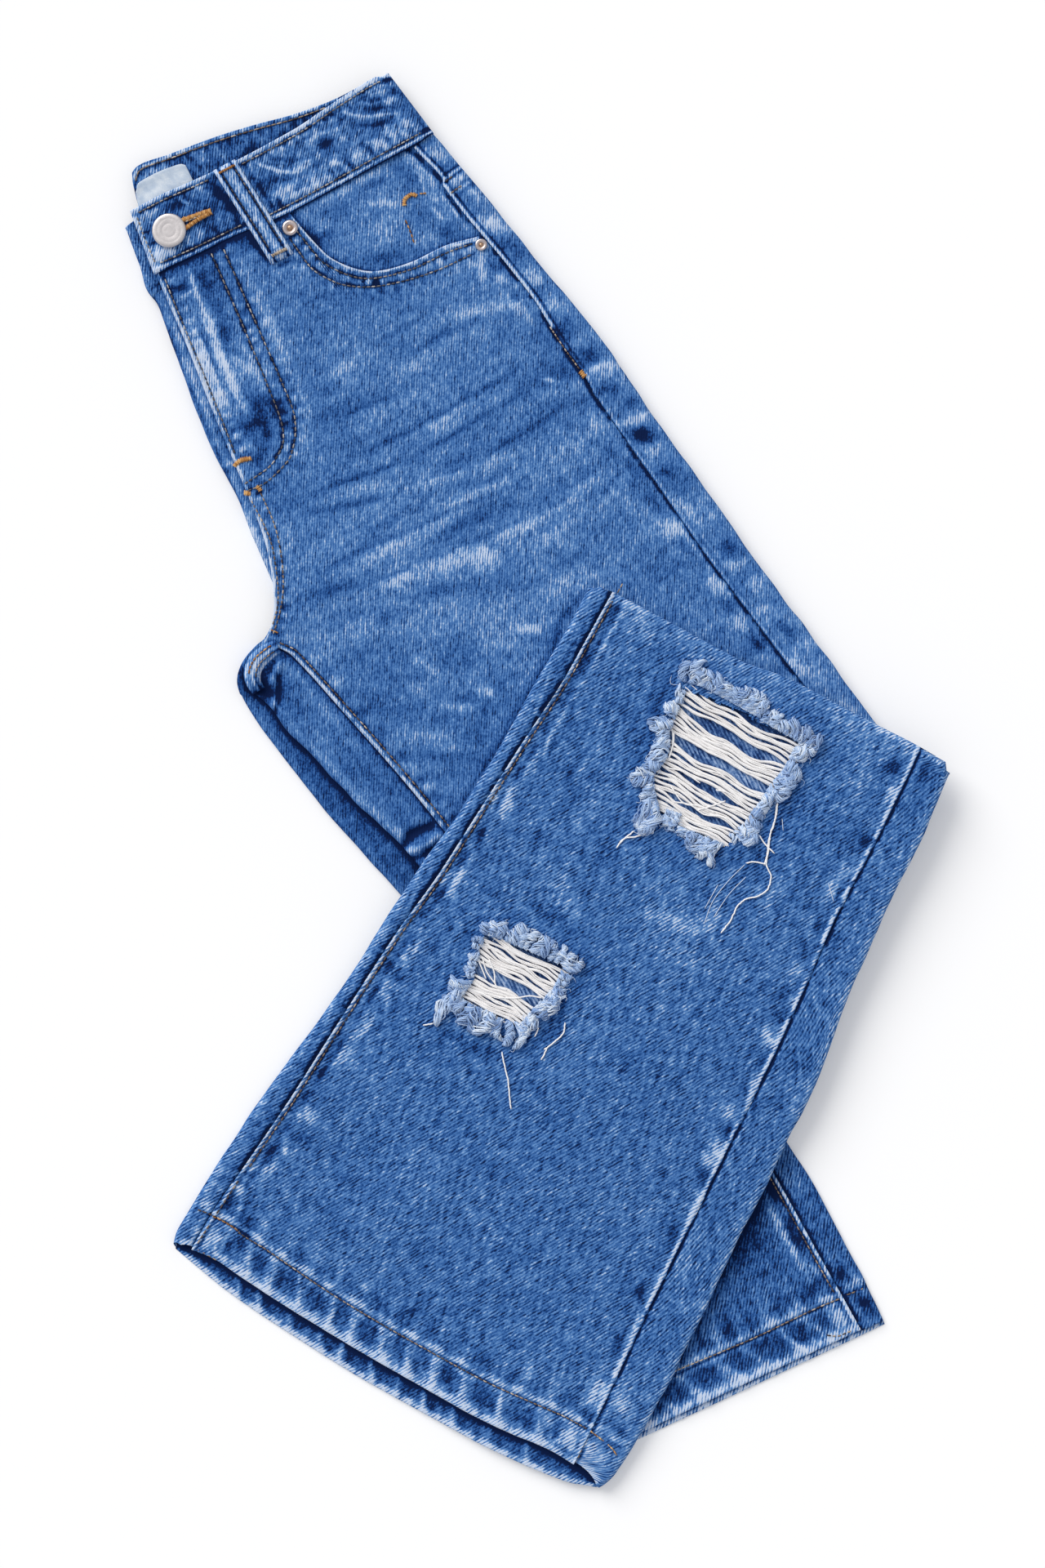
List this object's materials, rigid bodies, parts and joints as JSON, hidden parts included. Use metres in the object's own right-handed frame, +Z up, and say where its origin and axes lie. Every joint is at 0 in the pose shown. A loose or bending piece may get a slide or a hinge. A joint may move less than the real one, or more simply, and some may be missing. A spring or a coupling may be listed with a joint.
{
  "type": "ripped jeans",
  "caption": "High-waisted wide-leg denim jeans with two torn places, folded in half lengthwise and lying flat with one leg turned back over the other",
  "frame": {"origin": "middle of the garment's outline, on the surface it lies on", "axes": "+Z up from the surface, +Y towards the waistband, +X towards the outer fold of the left leg"},
  "size_m": [0.4838, 0.8302, 0.0247],
  "materials": {
    "denim": "washed mid-blue denim, visible diagonal twill, fades at seams and thigh",
    "denim_inside": "paler inner face of the same denim",
    "fray_cotton": "fluffy light-blue frayed cotton",
    "weft_cotton": "bare off-white weft yarns",
    "label_cloth": "pale woven tab, bare",
    "nickel": "satin pale silver button",
    "copper_nickel": "pinkish silver rivets"
  },
  "bodies": {
    "root": {"back_left_inner": "denim", "back_left_outer": "denim", "back_left_shin": "denim", "back_right": "denim", "back_right_shin": "denim", "belt_loop": "denim", "button": "nickel", "front_left": "denim", "front_left_fold": "denim", "front_left_shin": "denim", "front_right": "denim", "front_right_shin": "denim", "hem_left_back": "denim", "hem_left_front": "denim", "hem_right_back": "denim", "hem_right_front": "denim", "hidden_layers": "denim_inside", "label_tab": "label_cloth", "pocket_facing": "denim", "rise_back_roll": "denim", "rivet_front": "copper_nickel", "rivet_side": "copper_nickel", "tear_lower_fray": "fray_cotton", "tear_lower_weft": "weft_cotton", "tear_upper_fray": "fray_cotton", "tear_upper_weft": "weft_cotton", "waistband_left": "denim", "waistband_right": "denim", "yoke_left": "denim"}
  },
  "joints": []
}
